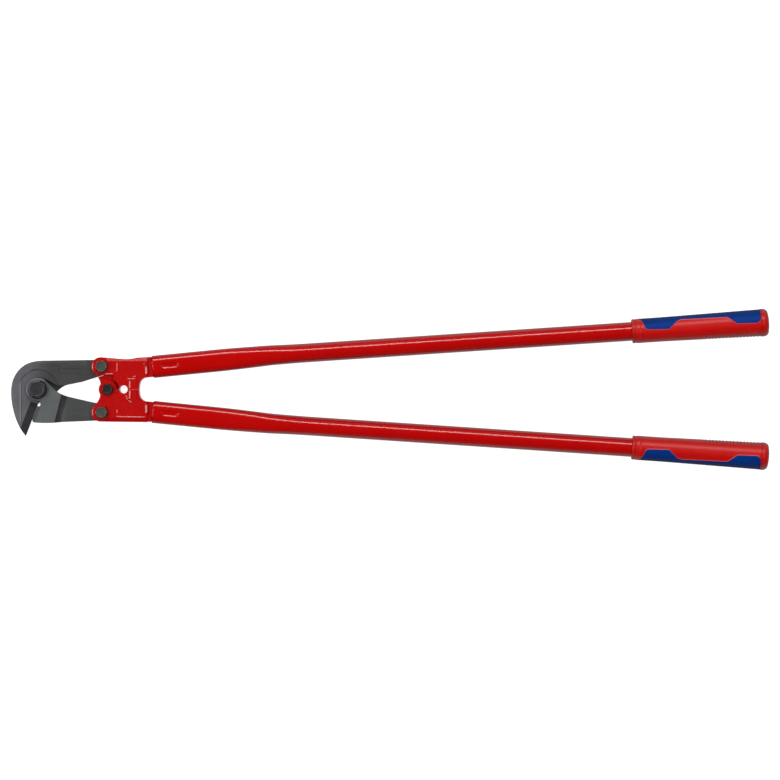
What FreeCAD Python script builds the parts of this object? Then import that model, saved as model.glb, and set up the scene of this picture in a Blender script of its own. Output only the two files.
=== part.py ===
import FreeCAD, Part
import math
import os

# Compound-lever cutter for concrete reinforcing mesh, lying flat.
# +X runs from the jaws to the grips, +Y from the lower handle to the upper one, +Z up.
# The origin is on the floor under the middle of the tool. Lengths are in millimetres.

os.makedirs("parts", exist_ok=True)
doc = FreeCAD.newDocument("mesh_cutter")
sizes = doc.addObject("Spreadsheet::Sheet", "Sizes")

CELLS = [
    ("mid_height", 17.5, "floor to the middle plane of the tool"),
    ("jaw_pivot_x", -441.5, "centre of the bolt that joins the jaws"),
    ("side_pivot_x", -361.3, "centres of the bolts that join a jaw to a lever"),
    ("side_pivot_y", 28.8, "the same, off the tool's middle line"),
    ("toggle_x", -353.5, "centre of the bolt that joins the levers"),
    ("jaw_half", 9.0, "half of the lapped jaws' thickness"),
    ("tail_half", 4.5, "half of a jaw tail's and of the tongue's thickness"),
    ("lap_gap", 0.15, "half of the gap between the lapped jaws"),
    ("side_gap", 0.3, "gap beside a tail in its fork"),
    ("boss_radius", 14.8, "round boss of each jaw"),
    ("eye_radius", 10.8, "rounded end of each jaw tail"),
    ("jaw_bolt_radius", 6.0, "M12 shank"),
    ("side_bolt_radius", 5.0, "M10 shank"),
    ("jaw_bolt_flats", 19.0, "hexagonal head and nut, across flats"),
    ("jaw_bolt_rise", 7.5, "the same, height of the head"),
    ("side_bolt_flats", 13.6, "hexagonal heads of the bolts at the levers, across flats"),
    ("toggle_bolt_flats", 12.0, "the same, the one that joins the levers"),
    ("side_bolt_rise", 4.4, "the same, height of the heads"),
    ("side_nut_flats", 16.0, "thin nuts behind the levers, across flats"),
    ("nut_washer", 1.6, "thickness of the washer behind the jaws"),
    ("side_washer", 1.2, "thickness of the washers behind the levers"),
    ("running_gap", 0.06, "radial clearance of a jaw on its bolt"),
    ("lever_half", 11.0, "half of a lever's thickness at its ears"),
    ("neck_half", 9.0, "half of a lever's thickness at its neck"),
    ("ring_height", 0.6, "raised ring under a bolt head"),
    ("ring_radius", 10.6, "the same, its radius"),
    ("lug_radius", 11.2, "round lugs and tongue at the toggle bolt"),
    ("lug_clearance", 14.4, "round cut around the other lever's lug"),
    ("hang_hole_radius", 5.1, "round hole shared by both levers"),
    ("tube_radius", 11.9, "round part of a tube"),
    ("tube_wall", 2.0, "the same, its wall"),
    ("press_half_width", 14.0, "flattened end of a tube, across the tool"),
    ("press_half_depth", 9.3, "flattened end of a tube, through the tool"),
    ("tube_start_x", -297.5, "flattened end of a tube"),
    ("tube_start_y", 28.2, "the same, off the tool's middle line"),
    ("tang_slope", 5.62, "angle of a tube at its flattened end, degrees"),
    ("tube_slope", 3.8, "angle of a tube after its bend, degrees"),
    ("bend_x", -150.0, "where a tube bends"),
    ("grip_start_x", 303.0, "front of a grip"),
    ("grip_length", 171.8, "the same, its length"),
    ("grip_rim_radius", 15.2, "rounded rim at the front of a grip"),
    ("grip_front_radius", 15.75, "a grip behind its collar"),
    ("grip_end_radius", 17.5, "the widest end of a grip"),
    ("inlay_depth", 2.0, "thickness of a grip's soft inlay"),
]
for row, (alias, value, note) in enumerate(CELLS, start=1):
    sizes.set(f"A{row}", alias)
    sizes.set(f"B{row}", str(value))
    sizes.set(f"C{row}", note)
    sizes.setAlias(f"B{row}", alias)
doc.recompute()


def size(alias):
    return float(sizes.get(alias))


def place(x=0, y=0, z=0, turn=0):
    return FreeCAD.Placement(FreeCAD.Vector(x, y, z), FreeCAD.Rotation(FreeCAD.Vector(0, 0, 1), turn))


def around(centre, radius, degrees):
    angle = math.radians(degrees)
    return (centre[0] + radius * math.cos(angle), centre[1] + radius * math.sin(angle))


def add(kind, name, placement=None, **bound):
    """Makes one object and binds each named property to an expression in sheet cells."""
    made = doc.addObject(kind, name)
    if placement:
        made.Placement = placement
    for prop, expression in bound.items():
        made.setExpression(prop, str(expression))
    return made


def join(name, pieces):
    made = doc.addObject("Part::MultiFuse", name)
    made.Shapes = pieces
    return made


def cut(name, base, tool):
    made = doc.addObject("Part::Cut", name)
    made.Base = base
    made.Tool = tool
    return made


def trace(sketch, start, steps):
    """Draws one closed outline: each step is a line, an arc or a smooth curve to its last point."""
    here = FreeCAD.Vector(*start, 0)
    for kind, *points in steps:
        points = [FreeCAD.Vector(*point, 0) for point in points]
        if kind == "line":
            edge = Part.LineSegment(here, points[0])
        elif kind == "arc":
            edge = Part.Arc(here, points[0], points[1])
        else:
            edge = Part.BSplineCurve()
            edge.interpolate([here] + points)
        sketch.addGeometry(edge, False)
        here = points[-1]


def slab(name, start, steps, low, high):
    """A PartDesign body with one padded outline, from height low to height high."""
    body = doc.addObject("PartDesign::Body", name)
    sketch = body.newObject("Sketcher::SketchObject", name + "_outline")
    flat = [plane for plane in body.Origin.OriginFeatures if plane.Role == "XY_Plane"][0]
    sketch.AttachmentSupport = [(flat, "")]
    sketch.MapMode = "FlatFace"
    sketch.setExpression("AttachmentOffset.Base.z", low)
    trace(sketch, start, steps)
    pad = body.newObject("PartDesign::Pad", name + "_pad")
    pad.Profile = sketch
    pad.setExpression("Length", f"({high}) - ({low})")
    return body


def disc(name, centre, radius, low, high):
    return add("Part::Cylinder", name, place(centre[0], centre[1]), Radius=radius,
               Height=f"({high}) - ({low})", **{"Placement.Base.z": low})


def heading(start, end):
    return math.degrees(math.atan2(end[1] - start[1], end[0] - start[0]))


def bevel(name, start, end, inset, drop, face, up=True, outside=2.0):
    """The wedge to cut away along a line: drop deep at the line, nothing at inset to its left."""
    run = math.hypot(end[0] - start[0], end[1] - start[1])
    turn = heading(start, end)
    wedge = doc.addObject("Part::Wedge", name)
    wedge.Xmin, wedge.Xmax, wedge.X2min, wedge.X2max = 0, run, 0, run
    wedge.Ymin, wedge.Ymax = -outside, inset
    deep = drop * (inset + outside) / inset
    wedge.Zmin, wedge.Zmax = (-deep, 0) if up else (0, deep)
    wedge.Z2min, wedge.Z2max = 0, 0
    wedge.Placement = place(start[0], start[1], face, turn)
    return wedge


def step(name, start, end, face, low, high):
    """Clears all that lies right of a line between two heights, with a sloping face along it."""
    up = face == low
    flat = add("Part::Box", name + "_flat", place(start[0], start[1], low, heading(start, end)))
    flat.Length = math.hypot(end[0] - start[0], end[1] - start[1])
    flat.Width = 80
    flat.Height = high - low
    across = flat.Placement.Rotation.multVec(FreeCAD.Vector(0, -80, 0))
    flat.Placement.Base += across
    outer = size("jaw_half") if up else -size("jaw_half")
    slope = bevel(name + "_slope", start, end, 7.5, abs(outer - face), outer, up, outside=0)
    return [flat, slope]


def finish(node, made):
    """Names a sub-part and lifts it to its height above the floor."""
    made.Label = node
    lift = "Sizes.mid_height"
    made.setExpression("Placement.Base.z", lift)
    nodes.append((node, made))


nodes = []
jaw_pivot = (size("jaw_pivot_x"), 0.0)
upper_pivot = (size("side_pivot_x"), size("side_pivot_y"))
lower_pivot = (size("side_pivot_x"), -size("side_pivot_y"))
toggle = (size("toggle_x"), 0.0)
boss = size("boss_radius")
eye = size("eye_radius")

# The cutting line of the closed jaws, from the throat to the tip of the hook.
throat = (-441.5, -18.3)
tip = (-456.6, -58.6)
edge_length = math.hypot(tip[0] - throat[0], tip[1] - throat[1])
edge_run = ((tip[0] - throat[0]) / edge_length, (tip[1] - throat[1]) / edge_length)


def on_edge(along, aside=0.0):
    """A point on the cutting line, along it from the throat and aside towards the lower blade."""
    return (throat[0] + edge_run[0] * along - edge_run[1] * aside,
            throat[1] + edge_run[1] * along + edge_run[0] * aside)


def jaw_bores(name, pivot, low, high):
    """Through bores for the jaw bolt and the side bolt."""
    running = "Sizes.running_gap"
    return [
        disc(name + "_bolt_bore", jaw_pivot, f"Sizes.jaw_bolt_radius + {running}", low, high),
        disc(name + "_side_bore", pivot, f"Sizes.side_bolt_radius + {running}", low, high),
    ]


def sector(name, radius, first, last, low, high):
    """A slice of a disc about the jaw bolt, between two angles in degrees."""
    made = disc(name, jaw_pivot, radius, low, high)
    made.Angle = last - first
    made.Placement.Rotation = FreeCAD.Rotation(FreeCAD.Vector(0, 0, 1), first)
    return made


def panel(name, corners, face):
    """The shallow plain recess to cut into a jaw's tail."""
    return slab(name, corners[-1], [("line", corner) for corner in corners], f"{face} - 0.4", "30")


# Upper jaw: the hook, its boss behind the lower jaw's, and the tail to the upper lever.
hook_back = [(-465.0, -45.9), (-471.6, -28.3), (-474.95, -7.0), (-473.3, 10.0), (-466.0, 23.5),
             (-454.5, 32.3), (-440.0, 35.8), (-431.5, 36.1)]
upper_jaw_blank = slab("upper_jaw_blank", tip, [
    ("curve", *hook_back),
    ("line", around(upper_pivot, eye, 130.6)),
    ("arc", around(upper_pivot, eye, 30), around(upper_pivot, eye, -71.4)),
    ("line", (-386.4, 9.4)),
    ("line", (-401.4, 6.4)),
    ("arc", (-409.6, 3.9), (-417.0, -1.8)),
    ("line", around(jaw_pivot, boss, -45)),
    ("arc", around(jaw_pivot, boss, -62), around(jaw_pivot, boss, -80)),
    ("line", throat),
    ("line", tip),
], "-Sizes.jaw_half", "Sizes.tail_half")
tail_face = size("tail_half")
jaw_face = size("jaw_half")
upper_jaw_cuts = join("upper_jaw_cuts", jaw_bores("upper_jaw", upper_pivot, "-30", "30") + [
    disc("upper_jaw_pocket", jaw_pivot, "Sizes.boss_radius + 0.4", "-Sizes.lap_gap", "30"),
    slab("upper_jaw_recess", (-434.6, 14.2), [
        ("line", (-417.5, 5.4)),
        ("line", (-408.0, 4.8)),
        ("line", (-408.0, -6.0)),
        ("line", (-430.0, -14.5)),
        ("line", (-441.5, -8.0)),
        ("line", (-434.6, 14.2)),
    ], "-Sizes.lap_gap", "30"),
    sector("upper_jaw_shallow_recess", "24.5", 16, 150, f"{tail_face} - 0.9", "30"),
    bevel("hook_outer_facet", (-475.2, 40), (-475.2, -60), 11.0, 1.2, tail_face),
    bevel("hook_top_facet", (-380, 36.6), (-446, 36.2), 6.5, 0.9, tail_face),
    panel("upper_jaw_panel", [(-416.5, 26.8), (-385.0, 25.8), (-385.6, 19.8), (-413.8, 20.2)], tail_face),
    bevel("hook_front_bevel", on_edge(60), on_edge(0), 9.5, tail_face, tail_face),
    bevel("hook_back_bevel", on_edge(60), on_edge(0), 9.5, jaw_face, -jaw_face, up=False),
] + step("upper_jaw_step", (-405.2, -60), (-405.2, 60), -tail_face, -30, -tail_face))
finish("upper_jaw", cut("upper_jaw_cut", upper_jaw_blank, upper_jaw_cuts))

# Lower jaw: the short blade, its boss in front of the upper jaw's, and the tail.
edge_gap = 0.05
lower_jaw_blank = slab("lower_jaw_blank", on_edge(2.2, edge_gap), [
    ("line", on_edge(20.2, edge_gap)),
    ("arc", (-448.0, -40.0), (-445.6, -41.4)),
    ("curve", (-434.0, -42.1), (-411.4, -40.9)),
    ("line", around(lower_pivot, eye, -109)),
    ("arc", around(lower_pivot, eye, -10), around(lower_pivot, eye, 77.6)),
    ("line", (-371.3, -16.6)),
    ("line", (-401.4, -9.7)),
    ("arc", (-410.8, -6.6), (-417.8, -2.7)),
    ("line", around(jaw_pivot, boss, 45)),
    ("arc", around(jaw_pivot, boss, 150), around(jaw_pivot, boss, 281)),
    ("line", (-438.9, -16.7)),
    ("arc", (-437.8, -18.3), on_edge(2.2, edge_gap)),
], "-Sizes.tail_half", "Sizes.jaw_half")
lower_jaw_cuts = join("lower_jaw_cuts", jaw_bores("lower_jaw", lower_pivot, "-30", "30") + [
    disc("lower_jaw_pocket", jaw_pivot, "Sizes.boss_radius + 0.4", "-30", "Sizes.lap_gap"),
    sector("lower_jaw_recess", "25.2", -68, 52, "-30", "Sizes.lap_gap"),
    disc("lower_jaw_crotch", (-418.2, -5.0), "7.6", "-30", "Sizes.lap_gap"),
    bevel("lower_tail_facet", (-412, -41.4), (-366, -41.0), 6.2, 0.9, tail_face),
    panel("lower_jaw_panel", [(-403.4, -25.4), (-381.4, -24.6), (-381.0, -31.2), (-405.0, -32.0)],
          tail_face),
    bevel("blade_front_bevel", on_edge(0), on_edge(30), 5.0, jaw_face, jaw_face),
    bevel("blade_back_bevel", on_edge(0), on_edge(30), 5.0, tail_face, -tail_face, up=False),
] + step("lower_jaw_step", (-415.4, -51.6), (-401.8, 1.2), tail_face, tail_face, 30))
finish("lower_jaw", cut("lower_jaw_cut", lower_jaw_blank, lower_jaw_cuts))


def flip(steps, side):
    """The same outline steps, mirrored across the tool's middle line for side -1."""
    return [(kind, *[(x, side * y) for x, y in points]) for kind, *points in steps]


def ellipse_loft(name, stations, side, shrink):
    """A solid through upright ellipses at (distance, half width, half depth) along a tube."""
    rings = []
    for index, (x, y, slope, wide, deep) in enumerate(stations):
        turn = math.radians(slope * side)
        across = FreeCAD.Vector(-math.sin(turn), math.cos(turn), 0)
        along = FreeCAD.Vector(math.cos(turn), math.sin(turn), 0)
        spin = FreeCAD.Rotation(across, FreeCAD.Vector(0, 0, 1), along, "XYZ")
        ring = add("Part::Ellipse", f"{name}_ring_{index}",
                   MajorRadius=f"{wide} - {shrink}", MinorRadius=f"{deep} - {shrink}")
        ring.Placement = FreeCAD.Placement(FreeCAD.Vector(x, side * y, 0), spin)
        rings.append(ring)
    loft = doc.addObject("Part::Loft", name)
    loft.Sections = rings
    loft.Solid = True
    loft.Ruled = True
    return loft


tang_tan = math.tan(math.radians(size("tang_slope")))
tube_tan = math.tan(math.radians(size("tube_slope")))
bend_y = size("tube_start_y") + (size("bend_x") - size("tube_start_x")) * tang_tan


def tube_line(x):
    """Height of the upper tube's centre line off the middle line, and its slope in degrees."""
    if x < size("bend_x"):
        return size("tube_start_y") + (x - size("tube_start_x")) * tang_tan, size("tang_slope")
    return bend_y + (x - size("bend_x")) * tube_tan, size("tube_slope")


def lever(node, side, pivot, fork_end):
    """One forged lever: two ears, the stop, the neck and the tang that its tube is pressed on."""
    pocket = 11.3
    nose = 11.5
    upper = pivot if side > 0 else (pivot[0], -pivot[1])
    nose_centre = (upper[0] - 1.0, upper[1])
    gap = 0.03
    waist = [("curve", (-336.0, 38.1), (-327.0, 38.1), (-317.0, 39.8)), ("line", (-304.0, 40.5))]
    straight = [("line", (-304.0, 41.0))]
    profile = flip([
        ("line", (-362.9, 6.5)),
        ("curve", (-363.8, 11.0), (-366.2, 15.6), around(nose_centre, nose, 235)),
        ("arc", around(nose_centre, nose, 160), around(nose_centre, nose, 86)),
        ("line", (-346.3, 39.1 if side > 0 else 40.6)),
        *(waist if side > 0 else straight),
        ("line", (-304.0, 15.0)),
        ("curve", (-308.2, 14.1), (-312.0, 10.8), (-313.8, 5.5), (-314.2, gap)),
        ("line", (-362.9, gap)),
    ], side)
    blank = slab(node + "_profile", (-362.9, side * gap), profile,
                 "-Sizes.lever_half", "Sizes.lever_half")
    neck = slab(node + "_neck", (-306.0, side * 40.4), flip([
        ("line", (-299.2, 40.7)),
        ("line", (-296.5, 15.7)),
        ("line", (-306.0, 14.9)),
        ("line", (-306.0, 40.4)),
    ], side), "-Sizes.neck_half", "Sizes.neck_half")
    tang_stations = []
    for x in (-300.0, -252.0):
        y, slope = tube_line(x)
        tang_stations.append((x, y, slope, "Sizes.press_half_width", "Sizes.press_half_depth"))
    tang = ellipse_loft(node + "_tang", tang_stations, side, "(Sizes.tube_wall + 0.15)")
    rings = [disc(node + "_side_ring", pivot, "Sizes.ring_radius",
                  "-Sizes.lever_half - Sizes.ring_height", "Sizes.lever_half + Sizes.ring_height")]
    pads = slab(node + "_stop_pad", (-325.0, side * gap), flip([
        ("line", (-325.0, 12.0)),
        ("line", (-317.0, 12.0)),
        ("line", (-317.0, gap)),
        ("line", (-325.0, gap)),
    ], side), "-Sizes.lever_half - Sizes.ring_height", "Sizes.lever_half + Sizes.ring_height")
    tail_pocket = slab(node + "_tail_pocket", (-385.0, side * 8.9), flip([
        ("line", around(upper, pocket, -72)),
        ("arc", around(upper, pocket, 0), around(upper, pocket, fork_end)),
        ("line", (around(upper, pocket, fork_end)[0], 50.0)),
        ("line", (-385.0, 50.0)),
        ("line", (-385.0, 8.9)),
    ], side), "-Sizes.tail_half - Sizes.side_gap", "Sizes.tail_half + Sizes.side_gap")
    notch_start = (-372.0, -side)
    notch = flip([
        ("line", (-372.0, 17.8)),
        ("line", (-345.5, 17.8)),
        ("line", around(toggle, size("lug_clearance"), 56.3)),
        ("arc", around(toggle, size("lug_clearance"), 26), around(toggle, size("lug_clearance"), -4)),
        ("line", (-372.0, -1.0)),
    ], side)
    hole = disc(node + "_hang_hole", (-333.6, 0), "Sizes.hang_hole_radius", "-30", "30")
    side_bore = disc(node + "_side_bore", pivot, "Sizes.side_bolt_radius + 0.02", "-30", "30")
    edge_y = side * 40.6
    edge = [(-304.0, edge_y), (-356.0, edge_y)][::side]
    bevels = [
        bevel(node + "_front_edge", *edge, 5.2, 2.4, size("lever_half")),
        bevel(node + "_back_edge", *edge, 5.2, 2.4, -size("lever_half"), up=False),
    ]
    whole = join(node + "_whole", [blank, neck, tang, *rings, pads])
    cuts = [tail_pocket, hole, side_bore, *bevels]
    if side > 0:
        cuts.append(slab(node + "_front_notch", notch_start, notch, "Sizes.tail_half", "30"))
        cuts.append(slab(node + "_back_notch", notch_start, notch, "-30", "-Sizes.tail_half"))
        lugs = [disc(node + "_tongue", toggle, "Sizes.lug_radius", "-Sizes.tail_half", "Sizes.tail_half")]
        # The tongue's bore is oversize: the linkage is opened at this pivot.
        bore = disc(node + "_toggle_bore", (toggle[0] + 0.45, 1.3), "6.8", "-30", "30")
    else:
        inner = "Sizes.tail_half + Sizes.side_gap"
        cuts.append(slab(node + "_tongue_notch", notch_start, notch, f"-({inner})", inner))
        lugs = [
            disc(node + "_front_lug", toggle, "Sizes.lug_radius", inner, "Sizes.lever_half"),
            disc(node + "_back_lug", toggle, "Sizes.lug_radius", "-Sizes.lever_half", f"-({inner})"),
            disc(node + "_front_ring", toggle, "Sizes.ring_radius - 1", inner,
                 "Sizes.lever_half + Sizes.ring_height"),
            disc(node + "_back_ring", toggle, "Sizes.ring_radius - 1",
                 "-Sizes.lever_half - Sizes.ring_height", f"-({inner})"),
        ]
        bore = disc(node + "_toggle_bore", toggle, "Sizes.side_bolt_radius + 0.02", "-30", "30")
    trimmed = cut(node + "_trimmed", whole, join(node + "_cuts", cuts))
    finish(node, cut(node + "_bored", join(node + "_lugged", [trimmed, *lugs]), bore))


lever("upper_lever", 1, upper_pivot, 80)
lever("lower_lever", -1, lower_pivot, 56)


def hexagon(name, centre, flats, low, high, turn=0):
    made = add("Part::Prism", name, place(centre[0], centre[1], 0, turn),
               Circumradius=f"({flats}) / 2 / cos(30 deg)", Height=f"({high}) - ({low})",
               **{"Placement.Base.z": low})
    made.Polygon = 6
    return made


def washer(node, centre, outer, inner, low, high):
    rim = disc(node + "_rim", centre, outer, low, high)
    finish(node, cut(node + "_cut", rim, disc(node + "_hole", centre, inner, low, high)))


def nut(node, centre, flats, inner, low, high):
    block = hexagon(node + "_block", centre, flats, low, high)
    finish(node, cut(node + "_cut", block, disc(node + "_bore", centre, inner, low, high)))


# Bolt that joins the jaws: its head is on the lower jaw, its washer and nut behind the upper one.
floor = "-Sizes.mid_height"
jaw_back = "-Sizes.jaw_half - Sizes.lap_gap"
finish("jaw_bolt", join("jaw_bolt_solid", [
    hexagon("jaw_bolt_head", jaw_pivot, "Sizes.jaw_bolt_flats", "Sizes.jaw_half",
            "Sizes.jaw_half + Sizes.jaw_bolt_rise", 11),
    disc("jaw_bolt_shank", jaw_pivot, "Sizes.jaw_bolt_radius", floor, "Sizes.jaw_half"),
]))
nut_face = f"{jaw_back} - Sizes.nut_washer"
washer("jaw_washer", jaw_pivot, "12", "Sizes.jaw_bolt_radius + 0.2", nut_face, jaw_back)
nut("jaw_nut", jaw_pivot, "Sizes.jaw_bolt_flats", "Sizes.jaw_bolt_radius + 0.02", floor, nut_face)

# Side bolts and the toggle bolt: low hexagonal heads in front, washers and thin nuts behind.
ear_face = "Sizes.lever_half + Sizes.ring_height"
side_nut_face = f"-({ear_face}) - Sizes.side_washer"
for node, centre, head, turn in (("upper_side", upper_pivot, "Sizes.side_bolt_flats", 15),
                                 ("lower_side", lower_pivot, "Sizes.side_bolt_flats", 0),
                                 ("toggle", toggle, "Sizes.toggle_bolt_flats", 8)):
    finish(node + "_bolt", join(node + "_bolt_solid", [
        hexagon(node + "_bolt_head", centre, head, ear_face,
                f"{ear_face} + Sizes.side_bolt_rise", turn),
        disc(node + "_bolt_shank", centre, "Sizes.side_bolt_radius", floor, ear_face),
    ]))
    washer(node + "_washer", centre, "9", "Sizes.side_bolt_radius + 0.2",
           side_nut_face, f"-({ear_face})")
    nut(node + "_nut", centre, "Sizes.side_nut_flats", "Sizes.side_bolt_radius + 0.02",
        floor, side_nut_face)


def tube(node, side):
    """A steel tube, flattened where it is pressed on the tang and round from the bend on."""
    flat_until = -222.0
    round_from = -100.0
    steps = 6
    xs = [size("tube_start_x"), flat_until]
    xs += [flat_until + (round_from - flat_until) * index / steps for index in range(1, steps + 1)]
    xs.append(size("grip_start_x") + size("grip_length") - 16)
    stations = []
    for x in xs:
        y, slope = tube_line(x)
        part = min(max((x - flat_until) / (round_from - flat_until), 0), 1)
        ease = (1 + math.cos(math.pi * part)) / 2
        wide = f"Sizes.tube_radius + (Sizes.press_half_width - Sizes.tube_radius) * {ease:.4f}"
        deep = f"Sizes.tube_radius - (Sizes.tube_radius - Sizes.press_half_depth) * {ease:.4f}"
        stations.append((x, y, slope, wide, deep))
    outer = ellipse_loft(node + "_outside", stations, side, "0")
    inner = ellipse_loft(node + "_inside", stations, side, "Sizes.tube_wall")
    finish(node, cut(node + "_wall", outer, inner))


tube("upper_tube", 1)
tube("lower_tube", -1)


def turned(name, start, steps):
    """A PartDesign body revolved about its own X axis."""
    body = doc.addObject("PartDesign::Body", name)
    sketch = body.newObject("Sketcher::SketchObject", name + "_section")
    flat = [plane for plane in body.Origin.OriginFeatures if plane.Role == "XY_Plane"][0]
    sketch.AttachmentSupport = [(flat, "")]
    sketch.MapMode = "FlatFace"
    trace(sketch, start, steps)
    revolution = body.newObject("PartDesign::Revolution", name + "_turned")
    revolution.Profile = sketch
    revolution.ReferenceAxis = (sketch, ["H_Axis"])
    revolution.Angle = 360
    return body


def grip(node, side):
    """A moulded grip and its inlay, made along +X and then laid on the end of a tube."""
    length = size("grip_length")
    front = size("grip_front_radius")
    wide = size("grip_end_radius")
    bore = size("tube_radius") + 0.05
    rim = size("grip_rim_radius")
    round_start = length - 9.0

    def section(name, depth):
        return turned(name, (0, bore), [
            ("line", (0, rim - 1.4)),
            ("arc", (0.4, rim - 0.4), (1.4, rim)),
            ("line", (3.4, rim)),
            ("line", (4.0, rim - 0.5)),
            ("line", (4.8, rim - 0.5)),
            ("line", (5.4, front - depth)),
            ("line", (36.0, front - depth)),
            ("line", (round_start, wide - depth)),
            ("arc", (length - 2.4 - depth * 0.5, wide - 2.6 - depth * 0.8), (length - depth, 8.5)),
            ("line", (length - depth, 0)),
            ("line", (length - 12.5, 0)),
            ("line", (length - 12.5, bore)),
            ("line", (0, bore)),
        ])

    blank = section(node + "_blank", 0)
    core = section(node + "_core", size("inlay_depth"))
    window = slab(node + "_window", (10.0, 22.0), [
        ("line", (10.0, 16.6)),
        ("line", (15.3, 6.3)),
        ("arc", (17.0, 2.6), (20.5, 0.8)),
        ("line", (46.0, -0.3)),
        ("line", (56.8, 9.1)),
        ("line", (61.8, 10.6)),
        ("line", (119.7, 9.6)),
        ("line", (131.6, 0.8)),
        ("line", (155.0, 0.1)),
        ("arc", (159.4, 1.8), (161.6, 6.6)),
        ("line", (161.6, 22.0)),
        ("line", (10.0, 22.0)),
    ], "-30", "30")
    patch = doc.addObject("Part::Common", node + "_patch")
    patch.Base = blank
    patch.Tool = window
    inlay = cut(node + "_inlay_cut", patch, core)
    sleeve = cut(node + "_sleeve", blank, cut(node + "_inlay_seat", patch, core))
    y, slope = tube_line(size("grip_start_x"))
    spin = FreeCAD.Rotation(FreeCAD.Vector(0, 0, 1), slope * side)
    if side < 0:
        spin = spin.multiply(FreeCAD.Rotation(FreeCAD.Vector(1, 0, 0), 180))
    for made in (inlay, sleeve):
        made.Placement = FreeCAD.Placement(FreeCAD.Vector(size("grip_start_x"), side * y, 0), spin)
    finish(node, sleeve)
    finish(node + "_inlay", inlay)


grip("upper_grip", 1)
grip("lower_grip", -1)

doc.recompute()
for made in doc.Objects:
    if "Invalid" in made.State or "Error" in made.State:
        raise RuntimeError(f"{made.Name} failed: {made.State}")
for node, made in nodes:
    if made.Shape.isNull() or not made.Shape.isValid():
        raise RuntimeError(f"{node} has no valid shape")
for node, made in nodes:
    made.Shape.exportStep(f"parts/{node}.step")
    box = made.Shape.BoundBox
    print(f"{node}: {len(made.Shape.Solids)} solid, {made.Shape.Volume / 1000:.2f} cm3, "
          f"x {box.XMin:.1f}..{box.XMax:.1f}, y {box.YMin:.1f}..{box.YMax:.1f}, "
          f"z {box.ZMin:.1f}..{box.ZMax:.1f}")
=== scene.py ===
import bpy
import bmesh
import math
from mathutils import Matrix, Vector


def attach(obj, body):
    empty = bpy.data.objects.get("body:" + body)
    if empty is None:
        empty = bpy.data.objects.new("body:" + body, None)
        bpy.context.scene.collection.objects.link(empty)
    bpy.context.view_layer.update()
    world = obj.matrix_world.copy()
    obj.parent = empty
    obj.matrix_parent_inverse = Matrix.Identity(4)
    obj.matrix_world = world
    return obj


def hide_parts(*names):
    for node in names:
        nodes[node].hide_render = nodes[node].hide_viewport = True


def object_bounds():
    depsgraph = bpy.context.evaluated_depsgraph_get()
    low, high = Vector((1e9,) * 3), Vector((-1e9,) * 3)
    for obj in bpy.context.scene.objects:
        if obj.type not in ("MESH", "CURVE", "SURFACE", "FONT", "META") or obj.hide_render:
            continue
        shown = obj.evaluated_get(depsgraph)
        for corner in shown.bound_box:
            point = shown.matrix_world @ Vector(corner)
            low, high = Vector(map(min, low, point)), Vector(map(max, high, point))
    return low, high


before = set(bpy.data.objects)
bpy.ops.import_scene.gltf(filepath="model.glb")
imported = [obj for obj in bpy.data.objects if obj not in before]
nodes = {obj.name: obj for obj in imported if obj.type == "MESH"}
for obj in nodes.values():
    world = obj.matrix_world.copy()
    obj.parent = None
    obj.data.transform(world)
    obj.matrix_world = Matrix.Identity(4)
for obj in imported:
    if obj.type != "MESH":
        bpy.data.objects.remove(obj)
cadBox = [list(corner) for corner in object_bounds()]
scene = bpy.context.scene
collection = scene.collection
mm = 0.001
print("frame loaded:", len(nodes), "nodes")

# Camera: straight above the tool lying flat, far back with a long lens.
cameraSetup = {"lens": 200.0, "sensor": 36.0, "widthSeen": 0.978, "centre": (-0.0002, -0.00075)}
camera = bpy.data.objects.new("camera", bpy.data.cameras.new("camera"))
collection.objects.link(camera)
camera.data.lens = cameraSetup["lens"]
camera.data.sensor_width = cameraSetup["sensor"]
camera.data.clip_end = 60
midHeight = (cadBox[0][2] + cadBox[1][2]) / 2
cameraRise = cameraSetup["widthSeen"] * cameraSetup["lens"] / cameraSetup["sensor"]
camera.location = (*cameraSetup["centre"], midHeight + cameraRise)
scene.camera = camera
scene.view_settings.view_transform = "Standard"


# Adds one shell of quads between equal rows of points.
def addShell(bm, rows, closeRound=False):
    width = len(rows[0])
    made = [[bm.verts.new(point) for point in row] for row in rows]
    for low, high in zip(made, made[1:]):
        for k in range(width if closeRound else width - 1):
            m = (k + 1) % width
            built = bm.faces.new((low[k], low[m], high[m], high[k]))
            built.smooth = True


def weld(bm, distance=2e-6):
    bmesh.ops.remove_doubles(bm, verts=bm.verts, dist=distance)
    bmesh.ops.dissolve_degenerate(bm, edges=bm.edges, dist=1e-7)


# Turns a bmesh into a piece that rides on a body. Edges sharper than the angle stay sharp.
def makePiece(bm, name, materials, body, sharpAngle):
    bmesh.ops.recalc_face_normals(bm, faces=bm.faces)
    mesh = bpy.data.meshes.new(name)
    bm.to_mesh(mesh)
    bm.free()
    for material in materials:
        mesh.materials.append(material)
    mesh.set_sharp_from_angle(angle=math.radians(sharpAngle))
    piece = bpy.data.objects.new(name, mesh)
    collection.objects.link(piece)
    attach(piece, body)
    return piece


# Makes a piece that takes the place of a CAD node.
def settle(bm, name, materials, source, body, sharpAngle=35.0):
    piece = makePiece(bm, name, materials, body, sharpAngle)
    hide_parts(source)
    return piece


def makeMaterial(name):
    material = bpy.data.materials.new(name)
    material.use_nodes = True
    return material, material.node_tree.nodes["Principled BSDF"]


# Stage: a pale floor that curves up into a low wall, and soft studio light.
stageSetup = {"floorRadius": 13.0, "coveRadius": 2.4, "wallTop": 6.5, "sides": 64, "coveSteps": 8,
              "colour": (0.22, 0.22, 0.22, 1), "glow": 0.93, "wallColour": (0.5, 0.5, 0.5, 1),
              "worldStrength": 0.04}


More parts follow.
